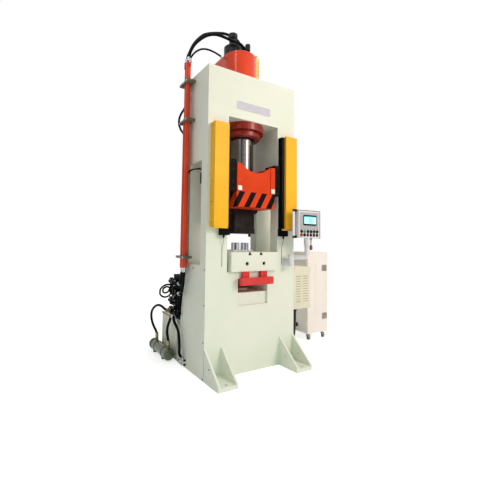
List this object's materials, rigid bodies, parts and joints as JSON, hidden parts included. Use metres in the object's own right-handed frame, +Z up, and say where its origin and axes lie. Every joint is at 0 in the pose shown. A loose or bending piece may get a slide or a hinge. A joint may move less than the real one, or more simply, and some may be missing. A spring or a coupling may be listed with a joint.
{
  "type": "hydraulic press",
  "caption": "Four-column hydraulic press in a welded frame, with guided slide, die set, ejector, oil plant, guard covers, swinging pendant panel and control cabinet on casters",
  "frame": {"origin": "on the floor under the middle of the press frame", "axes": "+Z up; the press front faces -Y; +X is to the right of a person who faces the press"},
  "size_m": [2.837, 1.7716, 4.4385],
  "materials": {
    "frame_enamel": "pale green satin enamel",
    "red_enamel": "orange-red gloss enamel",
    "signal_red": "signal red satin enamel",
    "hard_chrome": "ground hard chrome",
    "black_enamel": "black satin enamel",
    "yellow_enamel": "yellow satin powder coat on sheet",
    "motor_grey": "grey enamel on cast iron",
    "olive_enamel": "olive hammered enamel",
    "hose_rubber": "smooth black hose cover",
    "cream_powder_coat": "cream fine-texture powder coat",
    "zinc_plate": "bright zinc plate on pressed steel",
    "grey_rubber": "matte grey tread",
    "cast_aluminium": "silver lacquered aluminium",
    "brown_plastic": "moulded reddish brown plastic",
    "red_plastic": "moulded red plastic",
    "green_plastic": "moulded green plastic",
    "black_plastic": "moulded black plastic"
  },
  "bodies": {
    "root": {"press_frame": "frame_enamel", "bolster": "frame_enamel", "main_cylinder": "red_enamel", "die_shoe": "hard_chrome", "guide_rail_front_left": "black_enamel", "guide_rail_front_right": "black_enamel", "guide_rail_rear_left": "black_enamel", "guide_rail_rear_right": "black_enamel", "light_curtain_front_left": "black_enamel", "light_curtain_front_right": "black_enamel", "light_curtain_rear_left": "black_enamel", "light_curtain_rear_right": "black_enamel", "side_cover_left": "yellow_enamel", "side_cover_right": "yellow_enamel", "riser_pipe_front": "red_enamel", "riser_pipe_rear": "red_enamel", "prefill_tank": "red_enamel", "prefill_valve": "black_enamel", "pilot_valve": "black_enamel", "gauge_column": "yellow_enamel", "ejector_cylinder": "black_enamel", "power_tank": "frame_enamel", "pump_motor": "motor_grey", "valve_manifold": "black_enamel", "oil_cooler": "olive_enamel", "louvre_box": "frame_enamel", "feed_hose_front": "hose_rubber", "feed_hose_rear": "hose_rubber", "pilot_hose": "hose_rubber", "return_hose_front": "hose_rubber", "return_hose_rear": "hose_rubber", "cooler_hose_far": "hose_rubber", "cooler_hose_near": "hose_rubber", "drain_hose": "hose_rubber", "coil_cable": "hose_rubber", "signal_cable": "hose_rubber", "limit_switch": "hose_rubber", "cabinet_conduit": "hose_rubber", "cabinet_body": "cream_powder_coat", "pendant_bracket": "cast_aluminium"},
    "ram": {"slide": "red_enamel", "piston_rod": "hard_chrome", "upper_tool": "black_enamel"},
    "ejector": {"ejector_yoke": "signal_red"},
    "arm": {"pendant_arm": "cast_aluminium"},
    "panel": {"pendant_panel": "cast_aluminium", "pendant_plug": "brown_plastic"},
    "emergency_stop_body": {"emergency_stop": "red_plastic"},
    "start_button_body": {"start_button": "green_plastic"},
    "stop_button_body": {"stop_button": "red_plastic"},
    "mode_switch_body": {"mode_switch": "black_plastic"},
    "up_button_body": {"up_button": "black_plastic"},
    "down_button_body": {"down_button": "black_plastic"},
    "door": {"cabinet_door": "cream_powder_coat"},
    "left_fork": {"caster_fork_left": "zinc_plate"},
    "right_fork": {"caster_fork_right": "zinc_plate"},
    "left_front_wheel": {"front_wheel_left": "grey_rubber"},
    "right_front_wheel": {"front_wheel_right": "grey_rubber"},
    "left_rear_wheel": {"rear_wheel_left": "grey_rubber"},
    "right_rear_wheel": {"rear_wheel_right": "grey_rubber"}
  },
  "joints": [
    {"name": "ram_slide", "type": "slide", "parent": "root", "child": "ram", "axis": [0, 0, -1], "range_m": [0, 0.2]},
    {"name": "ejector_lift", "type": "slide", "parent": "root", "child": "ejector", "axis": [0, 0, -1], "range_m": [0, 0.08]},
    {"name": "arm_swing", "type": "hinge", "parent": "root", "child": "arm", "pos_m": [0.517, -0.395, 1.347], "axis": [0, 0, 1], "range_deg": [-30, 20]},
    {"name": "panel_swivel", "type": "hinge", "parent": "arm", "child": "panel", "pos_m": [0.67, -0.52, 1.5], "axis": [0, 0, 1], "range_deg": [-15, 45]},
    {"name": "emergency_stop_push", "type": "slide", "parent": "panel", "child": "emergency_stop_body", "axis": [0, 1, 0], "range_m": [0, 0.005], "stiffness_N_per_m": 600, "springref_m": -0.002},
    {"name": "start_button_push", "type": "slide", "parent": "panel", "child": "start_button_body", "axis": [0, 1, 0], "range_m": [0, 0.005], "stiffness_N_per_m": 400, "springref_m": -0.002},
    {"name": "stop_button_push", "type": "slide", "parent": "panel", "child": "stop_button_body", "axis": [0, 1, 0], "range_m": [0, 0.005], "stiffness_N_per_m": 400, "springref_m": -0.002},
    {"name": "mode_switch_turn", "type": "hinge", "parent": "panel", "child": "mode_switch_body", "pos_m": [0.697, -0.565, 1.632], "axis": [0, 1, 0], "range_deg": [-45, 45]},
    {"name": "up_button_push", "type": "slide", "parent": "panel", "child": "up_button_body", "axis": [0, 1, 0], "range_m": [0, 0.005], "stiffness_N_per_m": 400, "springref_m": -0.002},
    {"name": "down_button_push", "type": "slide", "parent": "panel", "child": "down_button_body", "axis": [0, 1, 0], "range_m": [0, 0.005], "stiffness_N_per_m": 400, "springref_m": -0.002},
    {"name": "door_hinge", "type": "hinge", "parent": "root", "child": "door", "pos_m": [1.4535, 0.281, 0.11], "axis": [0, 0, -1], "range_deg": [0, 110]},
    {"name": "caster_swivel_left", "type": "hinge", "parent": "root", "child": "left_fork", "pos_m": [1.515, 0.31, 0.1], "axis": [0, 0, 1], "continuous": true},
    {"name": "caster_swivel_right", "type": "hinge", "parent": "root", "child": "right_fork", "pos_m": [1.837, 0.31, 0.1], "axis": [0, 0, 1], "continuous": true},
    {"name": "front_wheel_spin_left", "type": "hinge", "parent": "left_fork", "child": "left_front_wheel", "pos_m": [1.533, 0.31, 0.035], "axis": [0, 1, 0], "continuous": true},
    {"name": "front_wheel_spin_right", "type": "hinge", "parent": "right_fork", "child": "right_front_wheel", "pos_m": [1.855, 0.31, 0.035], "axis": [0, 1, 0], "continuous": true},
    {"name": "rear_wheel_spin_left", "type": "hinge", "parent": "root", "child": "left_rear_wheel", "pos_m": [1.533, 0.8, 0.035], "axis": [0, 1, 0], "continuous": true},
    {"name": "rear_wheel_spin_right", "type": "hinge", "parent": "root", "child": "right_rear_wheel", "pos_m": [1.855, 0.8, 0.035], "axis": [0, 1, 0], "continuous": true}
  ]
}
